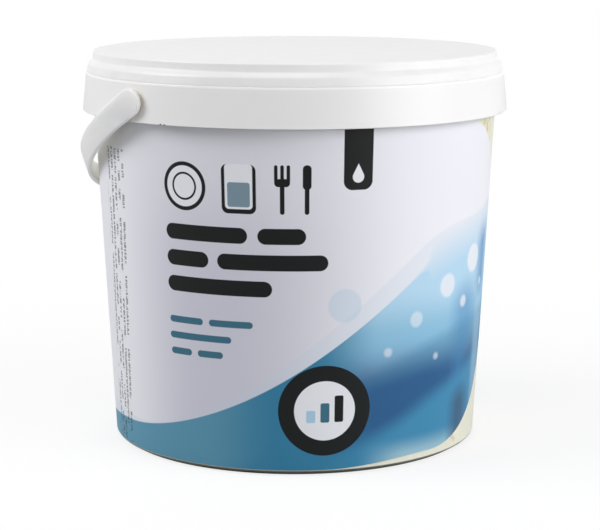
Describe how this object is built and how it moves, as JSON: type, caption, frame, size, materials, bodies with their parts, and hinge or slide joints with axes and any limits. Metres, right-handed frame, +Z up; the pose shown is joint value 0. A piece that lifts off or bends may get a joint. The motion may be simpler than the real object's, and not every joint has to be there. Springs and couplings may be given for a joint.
{
  "type": "dishwasher powder tub",
  "caption": "Round plastic pail of dishwasher powder with a lift-off lid, a swinging bail handle on its collar, a wrap-round label and a measuring scoop inside.",
  "frame": {"origin": "centre of the foot ring, on the plane that the tub stands on", "axes": "+Z up along the tub's axis; -Y towards the middle of the label's front; +X to the right as seen from the front"},
  "size_m": [0.171, 0.171, 0.156],
  "materials": {
    "tub_plastic": "satin moulded polypropylene, cream-white",
    "lid_plastic": "satin moulded polypropylene, white",
    "handle_plastic": "satin moulded polypropylene, white",
    "label_film": "printed film with a soft sheen, white over blue",
    "powder": "matt white granular powder with a few blue grains",
    "scoop_plastic": "pale blue moulded plastic"
  },
  "bodies": {
    "pail": {"tub": "tub_plastic", "label": "label_film", "powder": "powder", "scoop": "scoop_plastic"},
    "lid": {"lid": "lid_plastic"},
    "handle": {"handle": "handle_plastic"}
  },
  "joints": [
    {"name": "lid_lift", "type": "slide", "parent": "pail", "child": "lid", "axis": [0, 0, 1], "range_m": [0, 0.06]},
    {"name": "handle_swing", "type": "hinge", "parent": "pail", "child": "handle", "pos_m": [0, 0, 0.14], "axis": [0.7133, 0.7009, 0], "range_deg": [0, 236.85]}
  ]
}
